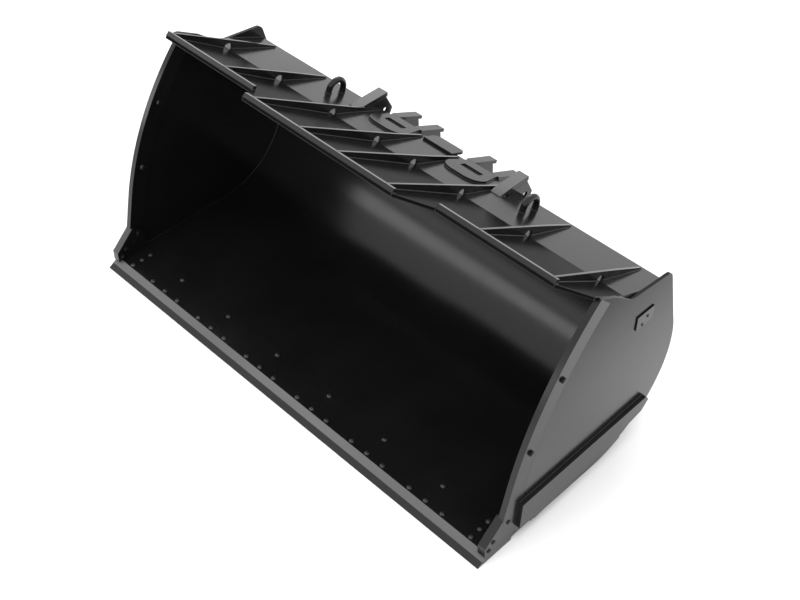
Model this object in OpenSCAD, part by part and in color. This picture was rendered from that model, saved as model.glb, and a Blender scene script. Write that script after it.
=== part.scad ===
// General purpose bucket of a wheel loader, with hooks for a coupler.
// X runs across, Y runs back from the cutting edge and Z runs up. In the
// helpers, a profile's point is [y, z], with y counted from the nose.

/* [Overall] */
// Width over the side plates
bucket_w = 3200; // [3000:50:3400]
// Height of the top corner of the side plates
side_h = 1418; // [1380:10:1440]

/* [Wrapper] */
// Thickness of the rolled sheet
sheet_t = 20; // [16:1:25]
// Outer radius of the rolled back
wrap_r = 587; // [575:1:595]
// Distance from the nose to the middle of the rolled back
arc_y = 928; // [915:1:940]
// Slope of the flat upper sheet
sheet_slope = 33.7; // [33:0.1:34.5]
// Length of the flat upper sheet at the middle lip
lip_reach = 1000; // [980:5:1020]
// How far the side lips are set back from the middle one
lip_step = 203; // [180:1:215]
// Width of the middle lip
lip_w = 1114; // [1080:2:1140]
// Width that each slanted step of the lip takes
lip_slant = 136; // [110:2:160]
// Width of each swept end of the lip at a side plate
sweep_w = 127; // [110:1:140]
// How far each swept end runs back
sweep_d = 185; // [160:1:200]
// Thickness and width of the square bars along the lip
lip_bar_t = 25; // [20:1:30]

/* [Edges] */
// Thickness of the base edge and of the bolted edge, each
edge_t = 25; // [22:1:30]
// Depth of the base edge from the nose
base_edge_d = 280; // [278:1:284]
// Depth of the bolted edge from the nose
cutting_edge_d = 275; // [272:1:278]
// Height of the blunt nose
nose_t = 4; // [3:0.5:8]
// Depth of the bevel on top
bevel_d = 75; // [60:1:80]
// Radius of the bolted edge's outer rear corners
edge_corner_r = 22; // [10:1:30]
// Pitch of the bolt groups
group_pitch = 453.4; // [440:0.2:456]
// Spacing of the front bolts in a group
bolt_spacing = 122.7; // [110:0.1:130]
// Distance of the front bolts from the nose
front_row = 97.5; // [95:0.5:105]
// Distance of the rear bolts from the nose
rear_row = 233.2; // [225:0.1:240]
// Distance of the end groups from the sides
end_group_in = 135.5; // [130:0.5:150]
// Diameter of the edge bolts
bolt_d = 20; // [16:1:22]
// Diameter of the domed heads
head_d = 34; // [30:1:38]
// Height of the domed heads
head_h = 11; // [8:1:14]
// Clearance round each shank, on the radius
hole_gap = 0.75; // [0.5:0.05:1.5]
// Width of the nuts across their corners
nut_w = 33; // [30:1:35]
// Height of the nuts
nut_h = 13; // [10:1:15]

/* [Sides] */
// Thickness of the side plates
side_t = 20; // [16:1:25]
// Thickness of the bars along their front
side_bar_t = 35; // [30:1:40]
// Width of the bars along their front
side_bar_w = 110; // [95:1:120]
// Distance of the bars' foot from the nose, at the floor
side_foot = 121.7; // [115:0.1:130]
// Lean of the bars near the floor
side_lean = 13.44; // [12:0.01:15]
// Height where the bars begin to curve back
side_bend_h = 450; // [420:5:480]
// Radius of the bars' curve
side_bend_r = 2037; // [1980:1:2100]
// Radius of the ears over the back
ear_r = 52; // [40:1:60]
// Width of the wear plates' stand-off from the side plates
side_wear_t = 28; // [20:1:32]
// Height of the top of the side wear plates
side_wear_h = 300; // [280:1:320]
// Thickness of the bottom wear plates
bottom_wear_t = 25; // [20:1:25]
// Distance from the nose to the bottom wear plates
bottom_wear_y = 420; // [380:5:460]

/* [Corner guards] */
// Width of the guards over both cheeks
guard_w = 50; // [48:1:56]
// Thickness of the outer cheek
guard_cheek = 12; // [10:1:14]
// Distance of the guards from the nose
guard_y = 50; // [45:1:56]
// Depth of the guards
guard_d = 225; // [215:1:230]
// Height of the guards' front
guard_front_h = 119; // [112:1:125]
// Height of the guards' top
guard_h = 249; // [240:1:255]
// Wall of the guards in front of the side bar's toe
guard_wall = 14; // [12:1:16]

/* [Back] */
// Length of the flat sheet from the rolled back to the rear top plate
valley_reach = 323; // [315:1:330]
// Length of the rear top plate, from the flat sheet to its rear edge
plate_len = 438.5; // [420:0.5:450]
// Fall of the rear top plate
plate_slope = 24.2; // [23:0.1:25.5]
// Thickness of the rear top plate and the back plate
box_t = 15; // [12:1:18]
// Slope of the back plate from upright
back_lean = 14.9; // [14:0.1:16]
// Thickness of the gussets
gusset_t = 15; // [12:1:18]
// Height of the gussets over the valley
gusset_h = 63; // [55:1:70]

/* [Hooks] */
// Distance from the middle to each outer hook plate
hook_outer_x = 391; // [386:1:396]
// Distance from the middle to each inner hook plate
hook_inner_x = 209.5; // [205:0.5:214]
// Thickness of the hook plates
hook_t = 30; // [25:1:34]
// Width of the caps on the hook plates
cap_w = 60; // [54:1:64]
// Thickness of the caps
cap_t = 20; // [16:1:25]
// Distance of the hook tips behind the rolled back
hook_reach = 70; // [65:1:76]
// Distance of the hook tips below the rear edge of the rear top plate
hook_drop = 78; // [72:1:84]
// Radius of the seats for the upper pin
seat_r = 42; // [35:1:45]
// Radius of the bores for the lock pins
lock_r = 30; // [25:0.5:34]
// Distance of the lock pin bores below the middle of the rolled back
lock_drop = 282; // [275:1:290]
// Radius of the lugs round the lock pin bores
lug_r = 68; // [62:1:70]

/* [Fittings] */
// Distance from the middle to each bumper
bumper_x = 550.5; // [546:0.5:556]
// Width of the bumpers
bumper_w = 75; // [70:1:80]
// Thickness of the bumpers
bumper_t = 25; // [20:1:28]
// Rise of the bumpers over the rear edge of the rear top plate
bumper_rise = 87; // [84:1:90]
// Distance of the bumpers' rear behind that edge
bumper_reach = 60; // [55:1:70]
// Distance from the middle to each lifting eye
eye_x = 756; // [745:1:765]
// Diameter of the lifting eyes' bar
eye_bar = 38; // [34:1:42]
// Radius of the lifting eyes to the middle of the bar
eye_r = 58; // [54:1:62]
// Length of the lifting eyes' straight legs
eye_leg = 25; // [20:1:30]
// Thickness of the leaf plates between the hooks
leaf_t = 14; // [10:1:16]
// Width of the side cover
cover_w = 138; // [130:1:145]
// Height of the side cover
cover_h = 93; // [88:1:98]
// Thickness of the side cover
cover_t = 8; // [6:1:10]

/* [Hidden] */

body_colour = "#3b3b3d";
bolt_colour = "#8b8b8d";
edge_colour = "#5a5a5c";
overrun = 10;
arc_fn = 180;
small_fn = 48;
curve_steps = 24;
corner_steps = 8;

half_w = bucket_w / 2;
side_in = half_w - side_t;
bar_in = half_w - side_bar_t;
floor_z = edge_t;
arc_z = floor_z + wrap_r;
arc_mid = [arc_y, arc_z];
plates_top = 2 * edge_t;

// Directions of the flat upper sheet: forwards along it, and out of it
along = [-cos(sheet_slope), sin(sheet_slope)];
outward = [sin(sheet_slope), cos(sheet_slope)];
// Point of the flat upper sheet: s along it from the rolled back, n out from its outer face
function sheet_point(s, n) = arc_mid + (wrap_r + n) * outward + s * along;

valley = sheet_point(valley_reach, 0);
plate_dir = [cos(plate_slope), -sin(plate_slope)];
plate_out = [-plate_dir[1], plate_dir[0]];
// Point of the rear top plate: s back from the valley, n out from its top face
function plate_point(s, n) = valley + s * plate_dir + n * plate_out;
ridge = plate_point(plate_len, 0);
back_dir = [sin(back_lean), -cos(back_lean)];
// Length of back plate drawn past its meeting with the rolled back
back_len = 300;
back_foot = ridge + back_len * back_dir;

side_reach = lip_reach - lip_step;
lip_half = lip_w / 2;
side_lip_x = lip_half + lip_slant;
side_lip_end = side_in - sweep_w;

// Points along the front of a side bar, inset from its edge by w
side_dir = [cos(side_lean), -sin(side_lean)];
side_bend = [side_foot + side_bend_h * tan(side_lean), side_bend_h];
side_mid = side_bend + side_bend_r * side_dir;
side_top_lean = asin((side_h - side_mid[1]) / side_bend_r);
function front_edge(w, foot_z) = concat(
    [[side_foot + foot_z * tan(side_lean) + w / cos(side_lean), foot_z]],
    [for (i = [0 : curve_steps])
        let (a = side_lean + (side_top_lean - side_lean) * i / curve_steps)
        side_mid - (side_bend_r - w) * [cos(a), -sin(a)]]
);

// Sizes of the side plates' top edge, back from the top corner and down from it
side_top_y = front_edge(0, 0)[curve_steps + 1][0];
shoulder_d = 134;
shoulder_drop = 77;
shoulder_r = 60;
dip_d = 274;
dip_drop = 190;
dip_r = 90;
ear_d = 611;
ear_drop = 228;
ear_low_d = 660;
ear_low_drop = 414;
side_rear_z = 800;
toe_over = 5;
toe_rear = base_edge_d + toe_over;
toe_z = 215;

// Sizes of the cutting edge's three lengths and of its bolt pattern
group_count = 6;
end_middle_back = 1.5;
end_middle_row = (front_row + rear_row) / 2 + end_middle_back;
edge_seam_x = 2 * group_pitch;
bolt_hole_r = bolt_d / 2 + hole_gap;
nut_hole_r = nut_w / 2 + 2 * hole_gap;
nut_under = 1;
nut_sink = nut_h + nut_under;
bolt_end = 3;

// Places of the gussets, as shares of half the width
gusset_shares = [-0.8912, -0.6, -0.3119, -0.0887, 0.0887, 0.3119, 0.6, 0.8912];
inner_share = 0.35;
gusset_cope = 34;
gusset_drop_d = 175;
gusset_tail = 400;
gusset_tail_h = 10;
gusset_curve_r = 300;

guard_top_y = 188;
guard_rear_z = 190;
guard_rear_r = 58;
guard_bolt_d = 16;
guard_head_d = 28;
guard_head_h = 9;
guard_nut_w = 27;
guard_nut_h = 10;
guard_bolt_top = [222, 192];
guard_bolt_mid = [112, 125];
guard_bolt_low = [82, 78];
guard_bolt_places = [guard_bolt_top, guard_bolt_mid, guard_bolt_low];

side_bolt_d = 18;
side_bolt_z = [650, 1040];
cover_y = 1117;
cover_z = 955;
cover_bolt_d = 10;
cover_head_d = 18;
cover_head_h = 6;
cover_bolt_spacing = 38;

// Sets a piece out so that the whole bucket is centred on the origin
module set_out() translate([0, -hook_tip_y / 2, 0]) children();
// Extrudes a profile of points [y, z] across the bucket from x0 to x1
module across(x0, x1) translate([x0, 0, 0]) rotate([90, 0, 90]) linear_extrude(x1 - x0) children();
// Puts a piece that is drawn on the right on the right (1) or the left (-1)
module sided(side) mirror([side < 0 ? 1 : 0, 0, 0]) children();

function unit(v) = v / norm(v);
// Points that round the corner b between a and c with radius r
function corner_points(a, b, c, r) =
    let (u = unit(a - b), v = unit(c - b), turn = 180 - acos(u * v),
        mid = b + unit(u + v) * r / cos(turn / 2),
        from = b + u * r * tan(turn / 2) - mid,
        to = b + v * r * tan(turn / 2) - mid)
    [for (i = [0 : corner_steps])
        let (k = i / corner_steps)
        mid + (from * sin((1 - k) * turn) + to * sin(k * turn)) / sin(turn)];
// Outline through corners [y, z, radius], where a radius of 0 leaves one sharp
function rounded(corners) =
    let (n = len(corners), p = [for (c = corners) [c[0], c[1]]])
    [for (i = [0 : n - 1])
        each corners[i][2] > 0
            ? corner_points(p[(i + n - 1) % n], p[i], p[(i + 1) % n], corners[i][2])
            : [p[i]]];
function corner(p, r) = [p[0], p[1], r];

// Head of a bolt: a low dome of diameter d and height h
module dome(d, h) {
    r = (d * d / 4 + h * h) / (2 * h);
    rotate_extrude($fn = small_fn) intersection() {
        translate([0, h - r]) circle(r, $fn = arc_fn);
        square([d / 2, h]);
    }
}

// Bolt with its head's seat at the origin, pointing down
module bolt(d, head, rise, length) {
    dome(head, rise);
    translate([0, 0, -length]) cylinder(d = d, h = length, $fn = small_fn);
}

// Six-sided nut with its lower face at the origin
module nut(w, h, d) difference() {
    cylinder(d = w, h = h, $fn = 6);
    translate([0, 0, -overrun]) cylinder(r = d / 2 + hole_gap / 2, h = h + 2 * overrun, $fn = small_fn);
}

// Space inside radius r of the rolled back, under the sheet and over the floor
module inside(r, past) {
    translate(arc_mid) circle(r, $fn = arc_fn);
    translate([base_edge_d - past, arc_z - r]) square([arc_y - base_edge_d + past, r + past]);
    translate(arc_mid) rotate(180 - sheet_slope) translate([0, -r]) square([lip_reach + past, r + past]);
    polygon([arc_mid, [base_edge_d - past, arc_z], arc_mid + (lip_reach + past) * along]);
}

// Sheet outline in its own plane that is cut off in front: [x, s]
module lip_cut(side) {
    far = lip_reach + overrun;
    polygon([
        [side * lip_half, far],
        [side * lip_half, lip_reach],
        [side * side_lip_x, side_reach],
        [side * side_lip_end, side_reach],
        [side * side_in, side_reach - sweep_d],
        [side * (side_in + overrun), side_reach - sweep_d],
        [side * (side_in + overrun), far]
    ]);
}

// Places flat work drawn as [x, s] on the sheet, its outer face at height 0
module on_sheet() translate([0, sheet_point(0, 0)[0], sheet_point(0, 0)[1]])
    rotate([-sheet_slope, 0, 0]) mirror([0, 1, 0]) children();

module wrapper() color(body_colour) set_out() difference() {
    across(-side_in, side_in) difference() {
        inside(wrap_r, 0);
        inside(wrap_r - sheet_t, overrun);
    }
    for (side = [-1, 1])
        on_sheet() translate([0, 0, -sheet_t - overrun])
            linear_extrude(sheet_t + 2 * overrun) lip_cut(side);
}

// Profile of both edges together, from the nose to depth d
module edge_profile(d) polygon([
    [0, 0], [d, 0], [d, plates_top], [bevel_d, plates_top], [0, nose_t]
]);

// Bolt places on the edges: six T groups, and three bolts in line at each end
edge_places = concat(
    [for (g = [0 : group_count - 1], i = [-1, 0, 1])
        [(g - (group_count - 1) / 2) * group_pitch + i * bolt_spacing, front_row]],
    [for (g = [0 : group_count - 1]) [(g - (group_count - 1) / 2) * group_pitch, rear_row]],
    [for (side = [-1, 1], y = [front_row, end_middle_row, rear_row]) [side * (half_w - end_group_in), y]]
);

module base_edge() color(body_colour) set_out() difference() {
    across(-half_w, half_w) intersection() {
        edge_profile(base_edge_d);
        translate([0, edge_t]) square([base_edge_d, edge_t]);
    }
    for (p = edge_places) translate([p[0], p[1], 0])
        cylinder(r = bolt_hole_r, h = plates_top + overrun, $fn = small_fn);
}

// Length of the bolted edge from x0 to x1
module cutting_edge(x0, x1) color(edge_colour) set_out() difference() {
    across(x0, x1) intersection() {
        edge_profile(cutting_edge_d);
        square([cutting_edge_d, edge_t]);
    }
    for (p = edge_places) if (p[0] > x0 && p[0] < x1) translate([p[0], p[1], 0]) {
        translate([0, 0, -overrun]) cylinder(r = bolt_hole_r, h = edge_t + 2 * overrun, $fn = small_fn);
        translate([0, 0, -overrun]) cylinder(r = nut_hole_r, h = nut_sink + overrun, $fn = small_fn);
    }
    for (side = [-1, 1]) if (max(side * x0, side * x1) >= half_w)
        translate([side * (half_w - edge_corner_r), cutting_edge_d - edge_corner_r, -overrun])
            edge_corner_cut(side);
}

// What is cut off to round an outer rear corner of the bolted edge
module edge_corner_cut(side) linear_extrude(edge_t + 2 * overrun) difference() {
    translate([side < 0 ? -edge_corner_r - overrun : 0, 0])
        square(edge_corner_r + overrun);
    circle(edge_corner_r, $fn = small_fn);
}

module edge_bolts() color(bolt_colour) set_out() for (p = edge_places)
    translate([p[0], p[1], plates_top]) bolt(bolt_d, head_d, head_h, plates_top - bolt_end);

module edge_nuts() color(bolt_colour) set_out() for (p = edge_places)
    translate([p[0], p[1], nut_sink - nut_h]) nut(nut_w, nut_h, bolt_d);

// Outline of a side plate with its bar
function side_outline() = concat(front_edge(0, plates_top), side_rest());

// Rest of a side plate's outline: its top edge, the rolled back and the floor
side_rear_turn = asin((side_rear_z - arc_z) / wrap_r);
function side_rest() = concat(
    rounded_top(),
    [for (i = [0 : curve_steps])
        let (a = side_rear_turn - (side_rear_turn + 90) * i / curve_steps)
        arc_mid + wrap_r * [cos(a), sin(a)]],
    [[toe_rear, floor_z], [toe_rear, plates_top]]
);

// Top edge of a side plate, from the top corner over its ear and down the back
function rounded_top() =
    let (x = side_top_y, z = side_h,
        c = [
            [x, z],
            [x + shoulder_d, z - shoulder_drop],
            [x + dip_d, z - dip_drop],
            [x + ear_d, z - ear_drop],
            [x + ear_low_d, z - ear_low_drop],
            arc_mid + wrap_r * [cos(side_rear_turn), sin(side_rear_turn)]
        ])
    concat(
        corner_points(c[0], c[1], c[2], shoulder_r),
        corner_points(c[1], c[2], c[3], dip_r),
        corner_points(c[2], c[3], c[4], ear_r),
        [c[4]]
    );

// Profile of a side bar: a band along the front edge, and the toe inside the guard
module side_bar_profile() intersection() {
    polygon(side_outline_with_toe());
    union() {
        polygon(concat(front_edge(-overrun, 0), reversed(front_edge(side_bar_w, 0))));
        polygon(toe_outline());
    }
}

function reversed(v) = [for (i = [len(v) - 1 : -1 : 0]) v[i]];

// Toe that carries the guard, behind the guard's wall
function toe_outline() = [
    [guard_y + guard_wall, plates_top],
    [guard_y + guard_wall, guard_front_h - guard_wall / 2],
    [guard_top_y, guard_h - guard_wall],
    [toe_rear, toe_z],
    [toe_rear, plates_top]
];

function side_outline_with_toe() = concat(
    [[guard_y + guard_wall, plates_top],
     [guard_y + guard_wall, guard_front_h - guard_wall / 2],
     [side_foot + (guard_h - guard_wall) * tan(side_lean), guard_h - guard_wall]],
    [for (p = front_edge(0, 0)) if (p[1] > guard_h) p],
    side_rest()
);

// Profile of the corner guards, seen from the side
function guard_outline() = rounded([
    [guard_y, plates_top, 0],
    [guard_y, guard_front_h, 0],
    [guard_top_y, guard_h, guard_wall],
    [guard_y + guard_d, guard_rear_z, guard_rear_r],
    [guard_y + guard_d, plates_top, 0]
]);

side_bolt_places = [for (z = side_bolt_z)
    let (a = asin((z - side_mid[1]) / (side_bend_r - side_bar_w / 2)))
    side_mid - (side_bend_r - side_bar_w / 2) * [cos(a), -sin(a)]];

module side_plate(side) color(body_colour) set_out() sided(side) across(side_in, half_w) difference() {
    polygon(side_outline());
    side_bar_profile();
}

module side_bar(side) color(body_colour) set_out() sided(side) difference() {
    across(bar_in, half_w) side_bar_profile();
    across(half_w - guard_cheek, half_w + overrun) polygon(guard_outline());
    for (p = side_bolt_places) translate([bar_in - overrun, p[0], p[1]]) rotate([0, 90, 0])
        cylinder(r = side_bolt_d / 2 + hole_gap, h = side_bar_t + 2 * overrun, $fn = small_fn);
    for (p = guard_bolt_places) translate([bar_in - overrun, p[0], p[1]]) rotate([0, 90, 0])
        cylinder(r = guard_bolt_d / 2 + hole_gap, h = side_bar_t + 2 * overrun, $fn = small_fn);
}

module side_bar_bolts() color(bolt_colour) set_out() for (side = [-1, 1], p = side_bolt_places)
    sided(side) translate([bar_in, p[0], p[1]]) rotate([0, -90, 0])
        bolt(side_bolt_d, head_d, head_h, side_bar_t + nut_h + bolt_end);

module side_bar_nuts() color(bolt_colour) set_out() for (side = [-1, 1], p = side_bolt_places)
    sided(side) translate([half_w, p[0], p[1]]) rotate([0, 90, 0]) nut(nut_w, nut_h, side_bolt_d);

module corner_guard(side) color(edge_colour) set_out() sided(side) difference() {
    across(half_w - guard_w, half_w) polygon(guard_outline());
    across(bar_in, half_w - guard_cheek) side_bar_profile();
    for (p = guard_bolt_places) translate([half_w - guard_w - overrun, p[0], p[1]]) rotate([0, 90, 0])
        cylinder(r = guard_bolt_d / 2 + hole_gap, h = guard_w + 2 * overrun, $fn = small_fn);
}

module guard_bolts() color(bolt_colour) set_out() for (side = [-1, 1], p = guard_bolt_places)
    sided(side) translate([half_w, p[0], p[1]]) rotate([0, 90, 0])
        bolt(guard_bolt_d, guard_head_d, guard_head_h, guard_w + guard_nut_h + bolt_end);

module guard_nuts() color(bolt_colour) set_out() for (side = [-1, 1], p = guard_bolt_places)
    sided(side) translate([half_w - guard_w - guard_nut_h, p[0], p[1]]) rotate([0, 90, 0])
        nut(guard_nut_w, guard_nut_h, guard_bolt_d);

// Square bar along the lip from x0 to x1, its front flush at s
module lip_bar(x0, x1, s) color(body_colour) set_out() across(x0, x1) polygon([
    sheet_point(s, 0), sheet_point(s, lip_bar_t),
    sheet_point(s - lip_bar_t, lip_bar_t), sheet_point(s - lip_bar_t, 0)
]);

// Gusset number i, from its lip bar over the valley to its upturned tail
module gusset(i) {
    share = gusset_shares[i];
    x = share * half_w;
    s = abs(share) < inner_share ? lip_reach : side_reach;
    peak = valley + [0, gusset_h];
    tail = plate_point(gusset_tail, gusset_tail_h);
    color(body_colour) set_out() across(x - gusset_t / 2, x + gusset_t / 2) difference() {
        polygon(concat(
        [sheet_point(s, lip_bar_t)],
        corner_points(
            sheet_point(s, lip_bar_t), peak + gusset_drop_d * unit(peak - sheet_point(s, lip_bar_t)),
            tail, gusset_curve_r),
        [tail, plate_point(gusset_tail, 0), valley, sheet_point(s - lip_bar_t, 0),
         sheet_point(s - lip_bar_t, lip_bar_t)]
        ));
        translate(valley) circle(gusset_cope, $fn = small_fn);
    }
}

// Length of the sheet that the rear top plate's slanted front edge covers
plate_lap = box_t / (along * plate_out);

module rear_top_plate() color(body_colour) set_out() across(-side_in, side_in) polygon([
    valley, ridge, plate_point(plate_len, -box_t), valley - plate_lap * along
]);

module back_plate() color(body_colour) set_out() across(-side_in, side_in) difference() {
    polygon([
        plate_point(plate_len, -box_t),
        plate_point(plate_len, -box_t) + back_len * back_dir,
        plate_point(plate_len, -box_t) + back_len * back_dir - box_t * [cos(back_lean), sin(back_lean)],
        plate_point(plate_len - box_t / cos(back_lean), -box_t)
    ]);
    translate(arc_mid) circle(wrap_r, $fn = arc_fn);
}

// Everything in front of the back's outer faces, that the hooks and bumpers stop at
module back_region() {
    translate(arc_mid) circle(wrap_r, $fn = arc_fn);
    polygon([
        valley, ridge, plate_point(plate_len, -box_t),
        plate_point(plate_len, -box_t) + back_len * back_dir, arc_mid
    ]);
}

// Sizes of the hook plates
hook_tip_y = arc_y + wrap_r + hook_reach;
hook_tip = [hook_tip_y, ridge[1] - hook_drop];
cap_start = plate_point(plate_len, leaf_t);
cap_dir = unit(hook_tip - cap_start);
cap_out = [-cap_dir[1], cap_dir[0]];
hook_set_back = 8;
hook_rear_y = hook_tip_y - hook_set_back;
seat_in = 35;
seat_drop = 225;
seat_y = hook_tip_y - seat_in;
seat_z = ridge[1] - seat_drop;
lug_set_back = 6;
lock_y = hook_tip_y - lug_r - lug_set_back;
lock_z = arc_z - lock_drop;
waist_in = 33;
waist_rise = 88;
waist = [hook_tip_y - waist_in, arc_z + waist_rise];
heel_turn = 30.4;
heel_out = 30;
heel = arc_mid + (wrap_r + heel_out) * [sin(heel_turn), -cos(heel_turn)];

// Direction from the middle c of a circle of radius r to where a line from p touches it
function touch(c, r, p, way) = atan2(p[1] - c[1], p[0] - c[0]) + way * acos(r / norm(p - c));
lock_mid = [lock_y, lock_z];
lug_from = touch(lock_mid, lug_r, waist, -1);
lug_to = touch(lock_mid, lug_r, heel, 1);

module hook_plate(x) color(body_colour) set_out() difference() {
    across(x - hook_t / 2, x + hook_t / 2) difference() {
        polygon(concat(
            [cap_start - cap_t * cap_out, hook_tip - cap_t * cap_out - [hook_tip_y - hook_rear_y, 0],
             [hook_rear_y, seat_z - seat_r], waist],
            [for (i = [0 : corner_steps])
                let (a = lug_from + (lug_to - lug_from) * i / corner_steps)
                lock_mid + lug_r * [cos(a), sin(a)]],
            [heel, arc_mid]
        ));
        back_region();
        translate([seat_y, seat_z]) circle(seat_r, $fn = small_fn);
        translate([seat_y, seat_z - seat_r]) square([hook_tip_y, 2 * seat_r]);
    }
    translate([x - hook_t, lock_y, lock_z]) rotate([0, 90, 0])
        cylinder(r = lock_r, h = 2 * hook_t, $fn = small_fn);
}

module hook_cap(x) color(body_colour) set_out() across(x - cap_w / 2, x + cap_w / 2) difference() {
    polygon([cap_start, hook_tip, hook_tip - cap_t * cap_out, cap_start - cap_t * cap_out]);
    back_region();
}

// Places flat work drawn as [x, s back from the valley] on the rear top plate
module on_plate() translate([0, valley[0], valley[1]]) rotate([-plate_slope, 0, 0]) children();

// Half of a leaf's outline, as shares of its half width and of its length forward of the rear
// edge, with the radius of each corner as a share of that length
leaf_x = (hook_outer_x + hook_inner_x) / 2;
leaf_len = 236;
leaf_half = 142;
leaf_shares = [[0.42, 1, 0.4], [0.86, 0.9, 0.3], [1, 0.62, 0.3], [0.78, 0.1, 0.2], [0.78, 0, 0]];
leaf_half_line = [for (q = leaf_shares) [q[0] * leaf_half, plate_len - q[1] * leaf_len, q[2] * leaf_len]];
leaf_window = [140, 46];
leaf_window_in = 82;
leaf_window_r = 8;
module leaf_plate(side) color(body_colour) set_out() sided(side) on_plate() linear_extrude(leaf_t)
    translate([leaf_x, 0]) difference() {
        polygon(rounded(concat(leaf_half_line, [for (q = reversed(leaf_half_line)) [-q[0], q[1], q[2]]])));
        translate([-leaf_window[0] / 2, plate_len - leaf_window_in - leaf_window[1]])
            polygon(rounded([
                [0, 0, leaf_window_r], [leaf_window[0], 0, leaf_window_r],
                [leaf_window[0], leaf_window[1], leaf_window_r], [0, leaf_window[1], leaf_window_r]
            ]));
    }

tongue_half = 112;
tongue_reach = 66;
tongue_seat = 60;
tongue_r = 34;
module centre_tongue() color(body_colour) set_out() on_plate() linear_extrude(box_t) polygon(rounded([
    [-tongue_half, plate_len - tongue_seat, 0],
    [-tongue_half, plate_len + tongue_reach, tongue_r],
    [tongue_half, plate_len + tongue_reach, tongue_r],
    [tongue_half, plate_len - tongue_seat, 0]
]));

// Sizes of the bumpers
bumper_z = ridge[1] + bumper_rise;
bumper_rear = ridge[0] + bumper_reach;
bumper_bend_in = 115;
bumper_front_in = 180;
bumper_bend_y = ridge[0] - bumper_bend_in;
bumper_front_y = ridge[0] - bumper_front_in;
bumper_web_t = 16;
bumper_hole_r = 17;
bumper_hole_out = 38;
bumper_hole_drop = 29;
bumper_hole = ridge + [bumper_hole_out, -bumper_hole_drop];
bumper_web_out = 38;
bumper_web_drop = 125;
function plate_z(y) = valley[1] + (y - valley[0]) * plate_dir[1] / plate_dir[0];

module bumper(side) color(body_colour) set_out() sided(side)
    across(bumper_x - bumper_w / 2, bumper_x + bumper_w / 2) difference() {
        polygon([
            [bumper_front_y, plate_z(bumper_front_y)],
            [bumper_bend_y, bumper_z], [bumper_rear, bumper_z],
            [bumper_rear, bumper_z - bumper_t], [bumper_bend_y, bumper_z - bumper_t],
            [bumper_front_y, plate_z(bumper_front_y) - bumper_t]
        ]);
        back_region();
    }

// Two webs, flush with both edges of the pad
module bumper_web(side) color(body_colour) set_out() sided(side) difference() {
    for (i = [0, 1]) let (x0 = bumper_x - bumper_w / 2 + i * (bumper_w - bumper_web_t))
    across(x0, x0 + bumper_web_t) difference() {
        polygon([
            [bumper_bend_y, bumper_z - bumper_t],
            [bumper_rear - bumper_t / 2, bumper_z - bumper_t],
            [bumper_rear + bumper_web_out, bumper_z - bumper_web_drop],
            back_foot - (back_foot - ridge) / 2
        ]);
        back_region();
    }
    translate([bumper_x - bumper_w, bumper_hole[0], bumper_hole[1]]) rotate([0, 90, 0])
        cylinder(r = bumper_hole_r, h = 2 * bumper_w, $fn = small_fn);
}

// Bent bar that stands on the rear top plate
eye_s = 285;
module lifting_eye(side) color(body_colour) set_out() sided(side) on_plate() translate([eye_x, eye_s, 0]) {
    translate([0, 0, eye_leg]) rotate([0, -90, 0]) difference() {
        rotate_extrude($fn = arc_fn) translate([eye_r, 0]) circle(d = eye_bar, $fn = small_fn);
        translate([-eye_r - 2 * eye_bar, -eye_r - 2 * eye_bar, -eye_bar])
            cube([eye_r + 2 * eye_bar, 2 * eye_r + 4 * eye_bar, 2 * eye_bar]);
    }
    for (i = [-1, 1]) translate([0, i * eye_r, 0]) cylinder(d = eye_bar, h = eye_leg, $fn = small_fn);
}

// Profile of the side wear plates
wear_front_y = 286;
wear_low_z = 72;
wear_tip_y = 1350;
wear_tip_drop = 40;
wear_end_y = 1296;
wear_end_z = 202;
wear_low_y = 785;
wear_low_rise = 28;
wear_notch_y = 380;
wear_notch_z = 100;
module side_wear_plate(side) color(edge_colour) set_out() sided(side)
    across(half_w, half_w + side_wear_t) polygon([
        [wear_front_y, wear_notch_z],
        [wear_front_y + side_bar_w / 10, side_wear_h - side_bar_w / 10],
        [wear_tip_y - side_wear_t, side_wear_h],
        [wear_tip_y, side_wear_h - wear_tip_drop],
        [wear_end_y, wear_end_z],
        [wear_low_y, wear_low_z + wear_low_rise],
        [wear_notch_y + side_wear_t, wear_low_z],
        [wear_notch_y, wear_notch_z]
    ]);

// Plates under the floor, side by side
wear_side_in = 5;
wear_gap = 3;
wear_turn = 24;
bottom_third = (bucket_w - 2 * wear_side_in) / 3;
module bottom_wear_plate(i) color(edge_colour) set_out()
    across(-half_w + wear_side_in + i * bottom_third + (i > 0 ? wear_gap : 0),
        -half_w + wear_side_in + (i + 1) * bottom_third) {
        translate([bottom_wear_y, floor_z - bottom_wear_t]) square([arc_y - bottom_wear_y, bottom_wear_t]);
        translate(arc_mid) intersection() {
            difference() {
                circle(wrap_r + bottom_wear_t, $fn = arc_fn);
                circle(wrap_r, $fn = arc_fn);
            }
            polygon([[0, 0], [0, -2 * wrap_r], 2 * wrap_r * [sin(wear_turn), -cos(wear_turn)]]);
        }
    }

cover_bolt_places = [for (i = [-1, 1])
    [cover_y + cover_w / 2 + i * cover_bolt_spacing / 2, cover_z + cover_h / 3 + i * cover_bolt_spacing / 2]];
module side_cover() color(body_colour) set_out() difference() {
    translate([half_w, cover_y, cover_z]) cube([cover_t, cover_w, cover_h]);
    for (p = cover_bolt_places) translate([half_w - overrun, p[0], p[1]]) rotate([0, 90, 0])
        cylinder(r = cover_bolt_d / 2 + hole_gap, h = cover_t + 2 * overrun, $fn = small_fn);
}

module cover_bolts() color(bolt_colour) set_out() for (p = cover_bolt_places)
    translate([half_w + cover_t, p[0], p[1]]) rotate([0, 90, 0])
        bolt(cover_bolt_d, cover_head_d, cover_head_h, cover_t);

hook_xs = [-hook_outer_x, -hook_inner_x, hook_inner_x, hook_outer_x];

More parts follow.
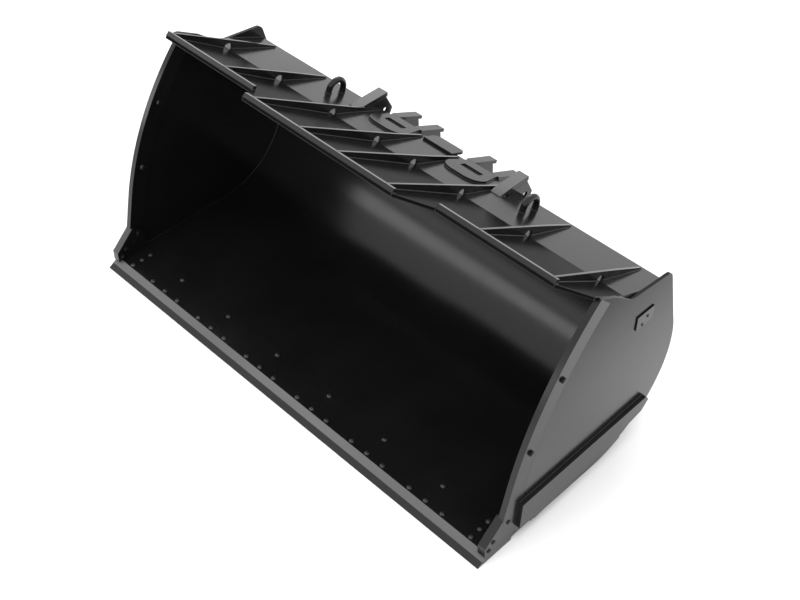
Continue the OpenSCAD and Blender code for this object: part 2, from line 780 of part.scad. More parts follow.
wrapper();
base_edge();
cutting_edge(-half_w, -edge_seam_x);  // cutting_edge_left
cutting_edge(-edge_seam_x, edge_seam_x);  // cutting_edge_centre
cutting_edge(edge_seam_x, half_w);  // cutting_edge_right
side_plate(-1);  // side_plate_left
side_plate(1);  // side_plate_right
side_bar(-1);  // side_bar_left
side_bar(1);  // side_bar_right
lip_bar(-side_lip_end, -side_lip_x, side_reach);  // lip_bar_left
lip_bar(-lip_half, lip_half, lip_reach);  // lip_bar_middle
lip_bar(side_lip_x, side_lip_end, side_reach);  // lip_bar_right
gusset(0);  // gusset_1
gusset(1);  // gusset_2
gusset(2);  // gusset_3
gusset(3);  // gusset_4
gusset(4);  // gusset_5
gusset(5);  // gusset_6
gusset(6);  // gusset_7
gusset(7);  // gusset_8
rear_top_plate();
back_plate();
hook_plate(hook_xs[0]);  // hook_plate_1
hook_plate(hook_xs[1]);  // hook_plate_2
hook_plate(hook_xs[2]);  // hook_plate_3
hook_plate(hook_xs[3]);  // hook_plate_4
hook_cap(hook_xs[0]);  // hook_cap_1
hook_cap(hook_xs[1]);  // hook_cap_2
hook_cap(hook_xs[2]);  // hook_cap_3
hook_cap(hook_xs[3]);  // hook_cap_4
leaf_plate(-1);  // leaf_plate_left
leaf_plate(1);  // leaf_plate_right
centre_tongue();
bumper(-1);  // bumper_left
bumper(1);  // bumper_right
bumper_web(-1);  // bumper_web_left
bumper_web(1);  // bumper_web_right
lifting_eye(-1);  // lifting_eye_left
lifting_eye(1);  // lifting_eye_right
corner_guard(-1);  // corner_guard_left
corner_guard(1);  // corner_guard_right
side_wear_plate(-1);  // side_wear_plate_left
side_wear_plate(1);  // side_wear_plate_right
bottom_wear_plate(0);  // bottom_wear_plate_left
bottom_wear_plate(1);  // bottom_wear_plate_centre
bottom_wear_plate(2);  // bottom_wear_plate_right
side_cover();
edge_bolts();
edge_nuts();
side_bar_bolts();
side_bar_nuts();
guard_bolts();
guard_nuts();
cover_bolts();
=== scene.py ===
"""General purpose bucket: finishes, bolts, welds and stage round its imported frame.

Laid out as an add-on and run as a script. All lengths are in metres, in the frame of the CAD part:
X runs across, Y runs back from the cutting edge and Z runs up.
"""
import math

import bmesh
import bpy
from bpy.props import FloatProperty, FloatVectorProperty, PointerProperty
from bpy.types import Operator, Panel, PropertyGroup
from mathutils import Matrix, Vector
from mathutils.bvhtree import BVHTree


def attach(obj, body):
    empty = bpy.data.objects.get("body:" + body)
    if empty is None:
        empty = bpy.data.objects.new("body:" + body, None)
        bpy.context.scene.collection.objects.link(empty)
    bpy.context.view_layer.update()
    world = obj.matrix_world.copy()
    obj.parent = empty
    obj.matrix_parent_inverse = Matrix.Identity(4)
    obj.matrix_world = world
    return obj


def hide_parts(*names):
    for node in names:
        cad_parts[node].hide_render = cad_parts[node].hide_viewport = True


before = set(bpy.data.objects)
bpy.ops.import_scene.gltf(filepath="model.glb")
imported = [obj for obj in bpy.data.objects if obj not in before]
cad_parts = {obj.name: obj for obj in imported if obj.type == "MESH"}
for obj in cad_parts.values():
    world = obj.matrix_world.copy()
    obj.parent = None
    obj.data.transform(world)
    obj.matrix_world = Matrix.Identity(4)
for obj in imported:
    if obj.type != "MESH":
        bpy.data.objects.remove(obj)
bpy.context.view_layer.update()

bl_info = {
    "name": "General purpose bucket",
    "version": (1, 0, 0),
    "blender": (4, 5, 0),
    "location": "3D View > Sidebar > Bucket",
    "description": "Finishes, bolts, welds and stage for the bucket of a wheel loader",
    "category": "Object",
}

BODY = "root"

SIDES = ("left", "right")
THIRDS = ("left", "centre", "right")
LIP_BARS = [f"lip_bar_{place}" for place in ("left", "middle", "right")]
GUSSETS = [f"gusset_{i}" for i in range(1, 9)]
HOOKS = [f"hook_plate_{i}" for i in range(1, 5)]
CAPS = [f"hook_cap_{i}" for i in range(1, 5)]
SIDE_PLATES = [f"side_plate_{side}" for side in SIDES]


def both_sides(*pieces):
    return [f"{piece}_{side}" for piece in pieces for side in SIDES]


# Nodes that are plates, with the finish of their faces and edges, their slot,
# and the share of the usual width by which their edges are broken
PLATES = [
    (["wrapper"], "sheet", "body_edge", "body_paint", 1.0),
    (["base_edge", "rear_top_plate", "back_plate", "centre_tongue", "side_cover"],
     "body", "body_edge", "body_paint", 1.0),
    (SIDE_PLATES, "side", "body_edge", "body_paint", 1.0),
    (both_sides("side_bar", "leaf_plate", "bumper", "bumper_web"),
     "body", "body_edge", "body_paint", 1.0),
    ([*LIP_BARS, *GUSSETS, *HOOKS, *CAPS], "body", "body_edge", "body_paint", 1.0),
    ([*both_sides("corner_guard", "side_wear_plate"),
      *[f"bottom_wear_plate_{place}" for place in THIRDS]],
     "wear", "wear_edge", "wear_paint", 1.0),
    ([f"cutting_edge_{place}" for place in THIRDS], "edge", "edge_edge", "edge_steel", 0.5),
    (both_sides("lifting_eye"), "body", "body_edge", "body_paint", 1.0),
]

# What is welded to what, each foot first
WELDED = [
    *[(gusset, base) for gusset in GUSSETS for base in ("wrapper", "rear_top_plate")],
    *[(bar, "wrapper") for bar in LIP_BARS],
    *[(hook, base) for hook in HOOKS for base in ("back_plate", "wrapper")],
    *zip(HOOKS, CAPS),
    *[(cap, "rear_top_plate") for cap in CAPS],
    *[(piece, "rear_top_plate") for piece in both_sides("bumper", "leaf_plate", "lifting_eye")],
    *[(f"bumper_web_{side}", base) for side in SIDES for base in ("back_plate", f"bumper_{side}")],
    *[(f"side_wear_plate_{side}", f"side_plate_{side}") for side in SIDES],
    *[(piece, plate) for plate in SIDE_PLATES
      for piece in ("wrapper", "rear_top_plate", "back_plate")],
    *[("base_edge", bar) for bar in both_sides("side_bar")],
    ("centre_tongue", "back_plate"),
    ("back_plate", "wrapper"),
    ("base_edge", "wrapper"),
]

# Corners of a CAD mesh that are nearer than this are one corner
MERGE = 2e-5

# Tone of the surround by the upward share of the direction, from straight down to straight up
SKY = [(-1.0, 0.12), (-0.12, 0.12), (-0.04, 0.75), (0.1, 0.95), (1.0, 1.0)]


class BucketFinish(PropertyGroup):
    body_colour: FloatVectorProperty(
        name="Body paint", description="Colour of the painted plates", subtype="COLOR",
        size=3, min=0, max=1, default=(0.0055, 0.0055, 0.0058))
    edge_colour: FloatVectorProperty(
        name="Edge paint", description="Colour of the bolted cutting edge", subtype="COLOR",
        size=3, min=0, max=1, default=(0.009, 0.009, 0.0095))
    bevel_colour: FloatVectorProperty(
        name="Ground bevel", description="Colour of the base edge's ground bevel",
        subtype="COLOR", size=3, min=0, max=1, default=(0.11, 0.11, 0.112))
    bolt_colour: FloatVectorProperty(
        name="Bolt steel", description="Colour of the bolt heads and nuts", subtype="COLOR",
        size=3, min=0, max=1, default=(0.065, 0.065, 0.068))
    paint_roughness: FloatProperty(
        name="Paint roughness", description="Roughness of the satin paint", subtype="FACTOR",
        min=0, max=1, default=0.2)
    wear: FloatProperty(
        name="Edge wear", description="How far the paint on the plates' edges is polished",
        subtype="FACTOR", min=0, max=1, default=0.2)


class BucketSizes(PropertyGroup):
    plate_edge: FloatProperty(
        name="Plate edge", description="Width of the broken edge round each plate",
        subtype="DISTANCE", unit="LENGTH", min=0, default=0.0022)
    weld_leg: FloatProperty(
        name="Weld", description="Radius of the weld beads",
        subtype="DISTANCE", unit="LENGTH", min=0.001, default=0.004)
    weld_pitch: FloatProperty(
        name="Weld ripple", description="Distance between the ripples of a weld bead",
        subtype="DISTANCE", unit="LENGTH", min=0.002, default=0.009)


class BucketStage(PropertyGroup):
    floor_colour: FloatVectorProperty(
        name="Floor", description="Colour of the floor", subtype="COLOR",
        size=3, min=0, max=1, default=(0.90, 0.90, 0.90))
    floor_half: FloatProperty(
        name="Floor size", description="Distance from the middle of the floor to its edges",
        subtype="DISTANCE", unit="LENGTH", min=1, default=60.0)
    surround: FloatProperty(
        name="Surround", description="Brightness of the surround", min=0, default=1.25)
    back_power: FloatProperty(
        name="Back card", description="Power of the card that faces turned up reflect",
        subtype="POWER", unit="POWER", min=0, default=240.0)
    front_power: FloatProperty(
        name="Front card", description="Power of the card that the rolled back reflects as a band",
        subtype="POWER", unit="POWER", min=0, default=60.0)
    floor_power: FloatProperty(
        name="Floor light", description="Power of the wide light above, which has no reflection",
        subtype="POWER", unit="POWER", min=0, default=1150.0)
    camera_place: FloatVectorProperty(
        name="Camera", description="Place of the camera", subtype="TRANSLATION", unit="LENGTH",
        size=3, default=(3.9471, -3.7026, 5.6504))
    camera_azimuth: FloatProperty(
        name="Azimuth", description="How far the camera stands round the bucket from its front",
        subtype="ANGLE", unit="ROTATION", default=math.radians(45.028))
    camera_elevation: FloatProperty(
        name="Elevation", description="How far the camera looks down",
        subtype="ANGLE", unit="ROTATION", default=math.radians(44.807))
    lens: FloatProperty(
        name="Lens", description="Focal length in millimetres", min=1, default=57.74)


def node_maker(tree):
    """A function that adds a node, sets its attributes and fills or links its inputs."""
    def make(kind, inputs=None, **settings):
        node = tree.nodes.new(kind)
        for key, value in settings.items():
            setattr(node, key, value)
        for key, value in (inputs or {}).items():
            if isinstance(value, bpy.types.NodeSocket):
                tree.links.new(value, node.inputs[key])
            else:
                node.inputs[key].default_value = value
        return node
    return make


def maths(make, operation, *values):
    return make("ShaderNodeMath", dict(enumerate(values)), operation=operation).outputs[0]


def ranged(make, value, from_low, from_high, to_low, to_high):
    """Brings a value from one range to another, and keeps it there."""
    return make("ShaderNodeMapRange", {
        "Value": value, "From Min": from_low, "From Max": from_high,
        "To Min": to_low, "To Max": to_high}).outputs[0]


def level(make, clouds, low, high):
    """Spreads the middle of a noise, where nearly all of it lies, over the range low to high."""
    return ranged(make, clouds, 0.3, 0.7, low, high)


def noise(make, place, scale, detail, roughness=0.5):
    return make("ShaderNodeTexNoise", {
        "Vector": place, "Scale": scale, "Detail": detail, "Roughness": roughness}).outputs["Fac"]


def mixed(make, share, first, second):
    return make("ShaderNodeMix", {0: share, 6: first, 7: second}, data_type="RGBA").outputs[2]


def shades(colour, *factors):
    """The colour, with its alpha, darkened or lightened by each factor."""
    return [tuple(c * k for c in colour) + (1,) for k in factors]


def shader_tree(name):
    """A new material with an empty tree, its node maker and the object's coordinates."""
    material = bpy.data.materials.new(name)
    material.use_nodes = True
    tree = material.node_tree
    tree.nodes.clear()
    make = node_maker(tree)
    return material, tree, make, make("ShaderNodeTexCoord").outputs["Object"]


BARE_STEEL = (0.2, 0.2, 0.205, 1)
DUST = (0.03, 0.029, 0.028, 1)


def paint(name, colour, roughness, bare=0.0, peel=0.03, stretch=(1, 1, 1), shade_by_height=None):
    """Satin paint over steel: soft clouds of tone, dull and glossy patches, dust and orange peel.

    bare is how far its patches are polished to the steel, peel the depth of the orange peel, and
    stretch draws clouds and patches out along an axis. shade_by_height is painted shade: the paint
    reflects less higher up, so that the plate looks darker towards the top. It gives the two
    heights, and the gloss at each.
    """
    material, tree, make, place = shader_tree(name)
    drawn = make("ShaderNodeMapping", {"Vector": place, "Scale": stretch}).outputs[0]
    clouds = noise(make, drawn, 2.3, 5.0, 0.55)
    patches = noise(make, drawn, 11.0, 7.0, 0.62)
    grain = noise(make, place, 210.0, 3.0)
    specks = make("ShaderNodeTexVoronoi", {
        "Vector": place, "Scale": 95.0, "Randomness": 1.0}).outputs["Distance"]
    tone = mixed(make, level(make, clouds, 0.0, 1.0), *shades(colour, 0.82, 1.2))
    dusty = mixed(make, ranged(make, specks, 0.05, 0.11, 0.16, 0.0), tone, DUST)
    worn = ranged(make, patches, 0.62 - 0.3 * bare, 0.72 - 0.2 * bare, 0.0, bare)
    dull = maths(
        make, "ADD", level(make, patches, -0.02, 0.02), level(make, clouds, -0.015, 0.015))
    smoother = maths(make, "SUBTRACT", maths(make, "ADD", dull, roughness), worn)
    rough = make("ShaderNodeClamp", {"Value": smoother, "Min": 0.14, "Max": 0.9}).outputs[0]
    height = maths(make, "MULTIPLY_ADD", patches, 1.6, grain)
    shader = make("ShaderNodeBsdfPrincipled", {
        "Base Color": mixed(make, worn, dusty, BARE_STEEL), "Roughness": rough,
        "Normal": make("ShaderNodeBump", {
            "Height": height, "Strength": peel, "Distance": 0.0012}).outputs[0],
        "Metallic": worn, "IOR": 1.42})
    # Painted shade: the gloss falls with height, so that the plate looks darker towards the top.
    if shade_by_height:
        rise = make("ShaderNodeSeparateXYZ", {0: place}).outputs[2]
        tree.links.new(ranged(make, rise, *shade_by_height), shader.inputs["Specular IOR Level"])
    make("ShaderNodeOutputMaterial", {"Surface": shader.outputs[0]})
    return material


def steel(name, colour, roughness):
    """Plated steel of the bolts: fine pits, and a darker and duller film in patches."""
    material, _, make, place = shader_tree(name)
    film = noise(make, place, 60.0, 6.0, 0.6)
    pits = noise(make, place, 480.0, 3.0)
    shader = make("ShaderNodeBsdfPrincipled", {
        "Base Color": mixed(make, level(make, film, 0.0, 1.0), *shades(colour, 0.6, 1.15)),
        "Roughness": level(make, film, roughness - 0.07, roughness + 0.1),
        "Normal": make("ShaderNodeBump", {
            "Height": pits, "Strength": 0.12, "Distance": 0.0004}).outputs[0],
        "Metallic": 0.85})
    make("ShaderNodeOutputMaterial", {"Surface": shader.outputs[0]})
    return material


def floor_finish(colour):
    """Matt floor with faint clouds."""
    material, _, make, place = shader_tree("floor_finish")
    shader = make("ShaderNodeBsdfPrincipled", {
        "Base Color": mixed(make, noise(make, place, 0.7, 4.0), *shades(colour, 0.985, 1.0)),
        "Roughness": 0.85})
    make("ShaderNodeOutputMaterial", {"Surface": shader.outputs[0]})
    return material


FINISHES = {}
ALONG_EDGE = (0.25, 1, 1)
ALONG_WEAR = (0.5, 1, 1)


def finish(name):
    """The material of that name, made from the scene's settings when it is first asked for."""
    if name not in FINISHES:
        s = bpy.context.scene.bucket_finish
        body, edge = tuple(s.body_colour), tuple(s.edge_colour)
        rough, wear = s.paint_roughness, s.wear

        def times(factor, colour):
            return tuple(factor * c for c in colour)

        FINISHES[name] = {
            "body": lambda: paint("body_paint", body, rough),
            # The rim finishes are half again lighter than their faces: painted highlight along the
            # edges, with bare patches of real wear.
            "body_edge": lambda: paint(
                "body_paint_edge", times(1.5, body), rough - 0.08, bare=wear * 0.5),
            # The side and sheet paint carry painted shade: they reflect less higher up and look
            # darker towards the top.
            "side": lambda: paint("side_paint", body, rough, shade_by_height=(0.25, 1.45, 0.7, 0.05)),
            "sheet": lambda: paint("sheet_paint", body, rough, shade_by_height=(0.6, 1.22, 0.5, 0.006)),
            "bevel": lambda: paint(
                "bevel_paint", tuple(s.bevel_colour), rough + 0.12, stretch=ALONG_EDGE),
            "wear": lambda: paint(
                "wear_paint", times(1.1, body), rough + 0.02, stretch=ALONG_WEAR),
            "wear_edge": lambda: paint(
                "wear_paint_edge", times(1.6, body), rough - 0.06, bare=wear * 0.7),
            "edge": lambda: paint("edge_paint", edge, rough + 0.03, stretch=ALONG_EDGE),
            "edge_edge": lambda: paint(
                "edge_paint_edge", times(1.5, edge), rough - 0.05, bare=wear),
            "weld": lambda: paint("weld_paint", times(0.8, body), rough + 0.2, peel=0.14),
            "bolt": lambda: steel("bolt_steel", tuple(s.bolt_colour), 0.36),
        }[name]()
    return FINISHES[name]


def node_mesh(node):
    """The CAD node's mesh with its doubles merged."""
    mesh = bmesh.new()
    mesh.from_mesh(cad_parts[node].data)
    bmesh.ops.remove_doubles(mesh, verts=mesh.verts, dist=MERGE)
    return mesh


def whole_faces(node):
    """The CAD node's mesh with its flat faces whole again."""
    mesh = node_mesh(node)
    bmesh.ops.dissolve_limit(
        mesh, angle_limit=math.radians(0.3), verts=mesh.verts, edges=mesh.edges)
    return mesh


def new_object(name, data):
    obj = bpy.data.objects.new(name, data)
    bpy.context.scene.collection.objects.link(obj)
    return obj


def settled(obj):
    """A plain mesh object of what obj shows with its modifiers, under obj's name. obj goes."""
    bpy.context.view_layer.update()
    graph = bpy.context.evaluated_depsgraph_get()
    mesh = bpy.data.meshes.new_from_object(
        obj.evaluated_get(graph), preserve_all_data_layers=True, depsgraph=graph)
    name = obj.name
    bpy.data.objects.remove(obj)
    mesh.name = name
    return new_object(name, mesh)


def smooth_by_angle(mesh, degrees):
    """Shades a bmesh smooth, but for edges sharper than the angle."""
    for f in mesh.faces:
        f.smooth = True
    for e in mesh.edges:
        e.smooth = e.calc_face_angle(0) < math.radians(degrees)


def in_frame(obj, slot, node=None):
    """Hangs a finished piece under its body, and hides the CAD node that it stands for. slot is not
    used.
    """
    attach(obj, BODY)
    if node:
        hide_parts(node)


def plate(node, face, rim, slot, width):
    """A piece that stands for a plate. Its edges are broken by width and have the rim finish, which
    is lighter than the face: painted highlight.
    """
    mesh = whole_faces(node)
    smooth_by_angle(mesh, 25)
    data = bpy.data.meshes.new(node + "_piece")
    mesh.to_mesh(data)
    mesh.free()
    data.materials.append(finish(face))
    data.materials.append(finish(rim))
    obj = new_object(node + "_piece", data)
    bevel = obj.modifiers.new("broken edges", "BEVEL")
    bevel.width = width
    bevel.segments = 2
    bevel.limit_method = "ANGLE"
    bevel.angle_limit = math.radians(30)
    bevel.harden_normals = True
    bevel.material = 1
    obj = settled(obj)
    if node == "base_edge":
        grind_bevel(obj.data)
    in_frame(obj, slot, node)


def grind_bevel(data):
    """Gives the face that slopes up from the base edge's front the bevel finish."""
    data.materials.append(finish("bevel"))
    for f in data.polygons:
        if f.normal.y < -0.2 and f.normal.z > 0.2 and f.material_index == 0:
            f.material_index = 2


def islands(node):
    """The (lowest, highest) corners of each separate solid of a CAD node."""
    mesh = node_mesh(node)
    found, seen = [], set()
    for first in mesh.verts:
        if first in seen:
            continue
        seen.add(first)
        group, reach = [], [first]
        while reach:
            v = reach.pop()
            group.append(v.co.copy())
            for e in v.link_edges:
                other = e.other_vert(v)
                if other not in seen:
                    seen.add(other)
                    reach.append(other)
        found.append((Vector(map(min, *group)), Vector(map(max, *group))))
    mesh.free()
    return found


def geometry_tree(name, sizes):
    """A geometry tree with a float input for each size, its node maker, and the inputs."""
    tree = bpy.data.node_groups.new(name, "GeometryNodeTree")
    for way in ("INPUT", "OUTPUT"):
        tree.interface.new_socket("Geometry", in_out=way, socket_type="NodeSocketGeometry")
    ids = {}
    for size, value in sizes.items():
        socket = tree.interface.new_socket(size, in_out="INPUT", socket_type="NodeSocketFloat")
        socket.default_value = value
        ids[size] = socket.identifier
    given = tree.nodes.new("NodeGroupInput").outputs
    return tree, node_maker(tree), given, ids


def close_tree(make, geometry, material):
    """Ends a tree in Realize Instances and Set Material."""
    real = make("GeometryNodeRealizeInstances", {"Geometry": geometry})
    painted = make("GeometryNodeSetMaterial", {"Geometry": real.outputs[0], "Material": material})
    make("NodeGroupOutput", {0: painted.outputs[0]})


def turned_solid(make, height, width, profile, sides):
    """A solid on the Z axis whose radius follows profile, which gets the share of the height."""
    top = make("ShaderNodeCombineXYZ", {"Z": height}).outputs[0]
    line = make("GeometryNodeCurvePrimitiveLine", {"Start": (0, 0, 0), "End": top})
    steps = make("GeometryNodeResampleCurve", {"Curve": line.outputs[0], "Count": 13})
    share = make("GeometryNodeSplineParameter").outputs["Factor"]
    ring = make("GeometryNodeCurvePrimitiveCircle", {
        "Resolution": sides, "Radius": maths(make, "MULTIPLY", width, 0.5)})
    return make("GeometryNodeCurveToMesh", {
        "Curve": steps.outputs[0], "Profile Curve": ring.outputs[0],
        "Scale": profile(make, share), "Fill Caps": True}).outputs[0]


def dome_profile(make, share):
    """Radius of a domed head over its height: a short upright rim, then a dome and a small flat."""
    risen = ranged(make, share, 0.18, 1.0, 0.0, 0.965)
    return maths(make, "SQRT", maths(make, "SUBTRACT", 1.0, maths(make, "MULTIPLY", risen, risen)))


def nut_profile(make, share):
    """Radius of a nut over its height: full, then a chamfer at each end."""
    off = maths(make, "ABSOLUTE", maths(make, "SUBTRACT", share, 0.5))
    return ranged(make, off, 0.40, 0.5, 1.0, 0.9)


def placed(make, points, solid):
    """The solid on every point, turned by the point's own turn."""
    turn = make("GeometryNodeInputNamedAttribute", {"Name": "turn"}, data_type="FLOAT_VECTOR")
    spin = make("FunctionNodeEulerToRotation", {0: turn.outputs[0]}).outputs[0]
    return make("GeometryNodeInstanceOnPoints", {
        "Points": points, "Instance": solid, "Rotation": spin}).outputs[0]


def bolt_tree(look):
    """Domed bolt heads with their shanks, on points."""
    tree, make, given, ids = geometry_tree("bolts", {
        "Head Width": 0.034, "Head Height": 0.011, "Shank Width": 0.02, "Shank Length": 0.04})
    head = turned_solid(make, given["Head Height"], given["Head Width"], dome_profile, 28)
    length = given["Shank Length"]
    shank = make("GeometryNodeMeshCylinder", {
        "Vertices": 20, "Radius": maths(make, "MULTIPLY", given["Shank Width"], 0.5),
        "Depth": length})
    down = make("ShaderNodeCombineXYZ", {"Z": maths(make, "MULTIPLY", length, -0.5)}).outputs[0]
    lowered = make("GeometryNodeTransform", {"Geometry": shank.outputs[0], "Translation": down})
    joined = make("GeometryNodeJoinGeometry", {"Geometry": head})
    tree.links.new(lowered.outputs[0], joined.inputs[0])
    close_tree(make, placed(make, given["Geometry"], joined.outputs[0]), finish(look))
    return tree, ids


def nut_tree(look):
    """Six-sided nuts with chamfered ends, on points."""
    tree, make, given, ids = geometry_tree("nuts", {"Nut Width": 0.033, "Nut Height": 0.013})
    nut = turned_solid(make, given["Nut Height"], given["Nut Width"], nut_profile, 6)
    close_tree(make, placed(make, given["Geometry"], nut), finish(look))
    return tree, ids


def weld_tree():
    """Round weld beads with ripples along the edges of a mesh."""
    tree, make, given, ids = geometry_tree("welds", {"Leg": 0.004, "Pitch": 0.009})
    lines = make("GeometryNodeMeshToCurve", {"Mesh": given["Geometry"]}).outputs[0]
    step = maths(make, "MULTIPLY", given["Pitch"], 0.25)
    steps = make("GeometryNodeResampleCurve", {"Curve": lines, "Length": step}, mode="LENGTH")
    run = make("GeometryNodeSplineParameter").outputs["Length"]
    ripple = maths(make, "FRACT", maths(make, "DIVIDE", run, given["Pitch"]))
    wander = noise(make, make("GeometryNodeInputPosition").outputs[0], 14.0, 2.0)
    swell = maths(
        make, "ADD", maths(make, "MULTIPLY", ripple, 0.14), maths(make, "MULTIPLY", wander, 0.4))
    ring = make("GeometryNodeCurvePrimitiveCircle", {"Resolution": 8, "Radius": given["Leg"]})
    bead = make("GeometryNodeCurveToMesh", {
        "Curve": steps.outputs[0], "Profile Curve": ring.outputs[0],
        "Scale": maths(make, "ADD", swell, 0.75), "Fill Caps": True})
    close_tree(make, bead.outputs[0], finish("weld"))
    return tree, ids


def grown(name, mesh, tree, ids, sizes):
    """A plain mesh piece that the tree grows on the mesh with those sizes."""
    obj = new_object(name, mesh)
    modifier = obj.modifiers.new("grown", "NODES")
    modifier.node_group = tree
    for size, value in sizes.items():
        modifier[ids[size]] = value
    return settled(obj)


# Axes along which bolts stand
X, Z = 0, 2


def outward(place):
    """The way along X that leads out of the bucket."""
    return 1 if place.x > 0 else -1


def inward(place):
    return -outward(place)


def up(place):
    return 1


def seats_of(node, axis, way_of):
    """Near and far end on the axis, middle and way of each solid of a node of bolts or nuts."""
    for low, high in islands(node):
        middle = (low + high) / 2
        way = way_of(middle)
        near, far = (low, high) if way > 0 else (high, low)
        yield near[axis], far[axis], middle, way


def fasteners(name, node, tree, ids, axis, seats, sizes):
    """The piece that a tree grows on the seats, each a place and the way that it points."""
    mesh = bpy.data.meshes.new(name)
    mesh.from_pydata([tuple(place) for place, _ in seats], [], [])
    turn = mesh.attributes.new("turn", "FLOAT_VECTOR", "POINT")
    quarter = 0.0 if axis == Z else math.pi / 2
    turn.data.foreach_set("vector", [c for _, way in seats for c in (0.0, way * quarter, 0.0)])
    obj = grown(name, mesh, tree, ids, sizes)
    mesh = bmesh.new()
    mesh.from_mesh(obj.data)
    bmesh.ops.recalc_face_normals(mesh, faces=mesh.faces)
    smooth_by_angle(mesh, 32)
    mesh.to_mesh(obj.data)
    mesh.free()
    in_frame(obj, "bolt_steel", node)


def make_bolts(name, node, axis, way_of, head_width, head_height, shank_width, look="bolt"):
    seats = []
    for near, far, place, way in seats_of(node, axis, way_of):
        length = abs(far - near) - head_height
        place[axis] = far - way * head_height
        seats.append((place, way))
    tree, ids = bolt_tree(look)
    fasteners(name, node, tree, ids, axis, seats, {
        "Head Width": head_width, "Head Height": head_height,
        "Shank Width": shank_width, "Shank Length": length})


def make_nuts(name, node, axis, way_of, width, look="bolt"):
    seats = []
    for near, far, place, way in seats_of(node, axis, way_of):
        height = abs(far - near)
        place[axis] = near
        seats.append((place, way))
    tree, ids = nut_tree(look)
    fasteners(name, node, tree, ids, axis, seats, {"Nut Width": width, "Nut Height": height})


def surface(node):
    mesh = bmesh.new()
    mesh.from_mesh(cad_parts[node].data)
    tree = BVHTree.FromBMesh(mesh)
    mesh.free()
    return tree


# An edge lies on a base that is nearer than TOUCH. It is welded where the base goes on for
# REACH on both sides of it. Long edges are tested in pieces of PIECE, edges under SPECK are
# left out, and beads whose ends are nearer than JOIN run on as one.
TOUCH = 0.0012
REACH = 0.009
PIECE = 0.02
SPECK = 1e-5
JOIN = 2e-4


def weld_lines(foot, base):
    """Sharp edges of the foot that lie on an open stretch of the base, as pairs of points."""
    lines = []
    mesh = whole_faces(foot)
    for e in mesh.edges:
        start, along = e.verts[0].co, e.verts[1].co - e.verts[0].co
        if e.calc_face_angle(0) < math.radians(20) or along.length < SPECK:
            continue
        pieces = max(1, int(along.length / PIECE))
        run = [start + along * (i / pieces) for i in range(pieces + 1)]
        for p, q in zip(run, run[1:]):
            middle = (p + q) / 2
            _, normal, _, gap = base.find_nearest(middle)
            if gap > TOUCH:
                continue
            across = along.normalized().cross(normal)
            if across.length < 0.5:
                continue
            across.normalize()
            if all(base.find_nearest(middle + way * REACH * across)[3] < TOUCH for way in (-1, 1)):
                lines.append((p.copy(), q.copy()))
    mesh.free()
    return lines


def lines_mesh(name, lines):
    mesh = bmesh.new()
    for a, b in lines:
        mesh.edges.new((mesh.verts.new(a), mesh.verts.new(b)))
    bmesh.ops.remove_doubles(mesh, verts=mesh.verts, dist=JOIN)
    data = bpy.data.meshes.new(name)
    mesh.to_mesh(data)
    mesh.free()
    return data


class BUCKET_OT_plates(Operator):
    """Give the plates their broken edges and satin paint"""
    bl_idname = "bucket.plates"
    bl_label = "Plates"

    def execute(self, context):
        width = context.scene.bucket_sizes.plate_edge
        for nodes, face, rim, slot, share in PLATES:
            for node in nodes:
                plate(node, face, rim, slot, share * width)
        return {"FINISHED"}


class BUCKET_OT_bolts(Operator):
    """Set the domed bolt heads and the nuts in their holes"""
    bl_idname = "bucket.bolts"
    bl_label = "Bolts and nuts"

    def execute(self, context):
        # Widths of the heads, their heights and the widths of the shanks are those of the CAD
        make_bolts("edge_bolt_heads", "edge_bolts", Z, up, 0.034, 0.011, 0.020)
        make_bolts("side_bar_bolt_heads", "side_bar_bolts", X, inward, 0.034, 0.011, 0.018)
        make_bolts("guard_bolt_heads", "guard_bolts", X, outward, 0.028, 0.009, 0.016, "weld")
        make_bolts("cover_bolt_heads", "cover_bolts", X, outward, 0.018, 0.006, 0.010)
        make_nuts("edge_bolt_nuts", "edge_nuts", Z, up, 0.033)
        make_nuts("side_bar_bolt_nuts", "side_bar_nuts", X, outward, 0.033, "weld")
        make_nuts("guard_bolt_nuts", "guard_nuts", X, inward, 0.027)
        return {"FINISHED"}


class BUCKET_OT_welds(Operator):
    """Run weld beads where the plates meet"""
    bl_idname = "bucket.welds"
    bl_label = "Welds"

    def execute(self, context):
        sizes = context.scene.bucket_sizes
        surfaces = {base: surface(base) for _, base in WELDED}
        lines = [line for foot, base in WELDED for line in weld_lines(foot, surfaces[base])]
        if not lines:
            raise RuntimeError("no two plates meet, so there is nothing to weld")
        tree, ids = weld_tree()
        obj = grown("weld_beads", lines_mesh("weld_lines", lines), tree, ids, {
            "Leg": sizes.weld_leg, "Pitch": sizes.weld_pitch})
        for f in obj.data.polygons:
            f.use_smooth = True
        in_frame(obj, "body_paint")
        return {"FINISHED"}


def surround(strength):
    """A world whose tone follows SKY."""
    world = bpy.data.worlds.new("white_surround")
    world.use_nodes = True
    world.node_tree.nodes.clear()
    make = node_maker(world.node_tree)
    way = make("ShaderNodeTexCoord").outputs["Generated"]
    rise = make("ShaderNodeSeparateXYZ", {0: way}).outputs[2]
    ramp = make("ShaderNodeValToRGB", {0: ranged(make, rise, -1.0, 1.0, 0.0, 1.0)})
    bands = ramp.color_ramp.elements
    for height, _ in SKY[1:-1]:
        bands.new((height + 1) / 2)
    for band, (height, tone) in zip(bands, SKY):
        band.position = (height + 1) / 2
        band.color = (tone, tone, tone, 1)
    sky = make("ShaderNodeBackground", {"Color": ramp.outputs[0], "Strength": strength})
    make("ShaderNodeOutputWorld", {"Surface": sky.outputs[0]})
    return world


def card(name, place, target, size, power, reflected=True):
    """A flat light that faces the target, and shows only in reflections or else never in them."""
    light = bpy.data.lights.new(name, "AREA")
    light.shape = "RECTANGLE"
    light.size, light.size_y = size
    light.energy = power
    obj = new_object(name, light)
    obj.location = place
    obj.rotation_mode = "QUATERNION"
    obj.rotation_quaternion = (Vector(target) - Vector(place)).to_track_quat("-Z", "Y")
    obj.visible_diffuse, obj.visible_glossy = not reflected, reflected


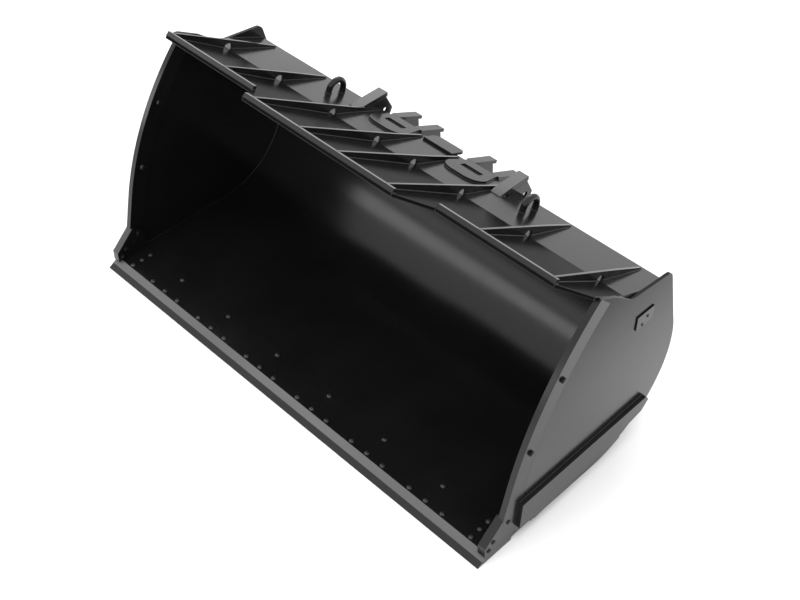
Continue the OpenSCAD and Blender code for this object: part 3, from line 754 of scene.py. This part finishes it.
class BUCKET_OT_stage(Operator):
    """Set the floor, the lights and the camera"""
    bl_idname = "bucket.stage"
    bl_label = "Floor, lights and camera"

    def execute(self, context):
        s = context.scene.bucket_stage
        context.scene.view_settings.view_transform = "Standard"
        context.scene.world = surround(s.surround)

        # The floor stands square to the camera, so that its far edge is a level horizon
        half, turn = s.floor_half, Matrix.Rotation(s.camera_azimuth, 3, "Z")
        corners = [(-half, -half, 0), (half, -half, 0), (half, half, 0), (-half, half, 0)]
        mesh = bpy.data.meshes.new("floor")
        mesh.from_pydata([tuple(turn @ Vector(c)) for c in corners], [], [(0, 1, 2, 3)])
        mesh.materials.append(floor_finish(tuple(s.floor_colour)))
        new_object("floor", mesh)

        card("back_card", (-4.4, 5.4, 6.2), (0.0, 0.5, 1.1), (5.0, 4.0), s.back_power)
        card("front_card", (-2.9, -4.4, 1.75), (0.0, 0.6, 0.3), (5.0, 1.5), s.front_power)
        card("floor_light", (0.0, 0.0, 12.0), (0.0, 0.0, 0.0), (14.0, 14.0), s.floor_power,
             reflected=False)

        lens = bpy.data.cameras.new("photo_camera")
        lens.lens = s.lens
        lens.sensor_width = 36.0
        lens.sensor_fit = "HORIZONTAL"
        lens.clip_end = 200.0
        camera = new_object("photo_camera", lens)
        a, e = s.camera_azimuth, s.camera_elevation
        forward = Vector((-math.sin(a) * math.cos(e), math.cos(a) * math.cos(e), -math.sin(e)))
        camera.location = tuple(s.camera_place)
        camera.rotation_mode = "QUATERNION"
        camera.rotation_quaternion = forward.to_track_quat("-Z", "Y")
        context.scene.camera = camera
        return {"FINISHED"}


class BUCKET_PT_panel(Panel):
    """The bucket's pieces and their settings"""
    bl_idname = "BUCKET_PT_panel"
    bl_label = "General purpose bucket"
    bl_space_type = "VIEW_3D"
    bl_region_type = "UI"
    bl_category = "Bucket"

    def draw(self, context):
        for name in SETTINGS:
            settings = getattr(context.scene, name)
            box = self.layout.box()
            box.label(text=name.removeprefix("bucket_").capitalize())
            for setting in settings.__annotations__:
                box.prop(settings, setting)
        for operator in OPERATORS:
            self.layout.operator(operator.bl_idname)


SETTINGS = {
    "bucket_finish": BucketFinish, "bucket_sizes": BucketSizes, "bucket_stage": BucketStage}
OPERATORS = (BUCKET_OT_plates, BUCKET_OT_bolts, BUCKET_OT_welds, BUCKET_OT_stage)
CLASSES = (*SETTINGS.values(), *OPERATORS, BUCKET_PT_panel)


def register():
    for cls in CLASSES:
        bpy.utils.register_class(cls)
    for name, group in SETTINGS.items():
        setattr(bpy.types.Scene, name, PointerProperty(type=group))


def unregister():
    for name in SETTINGS:
        delattr(bpy.types.Scene, name)
    for cls in reversed(CLASSES):
        bpy.utils.unregister_class(cls)


def main():
    for obj in [o for o in bpy.context.scene.objects if o.type in {"LIGHT", "CAMERA"}]:
        bpy.data.objects.remove(obj)
    register()
    bpy.ops.bucket.plates()
    bpy.ops.bucket.bolts()
    bpy.ops.bucket.welds()
    bpy.ops.bucket.stage()


if __name__ == "__main__":
    main()
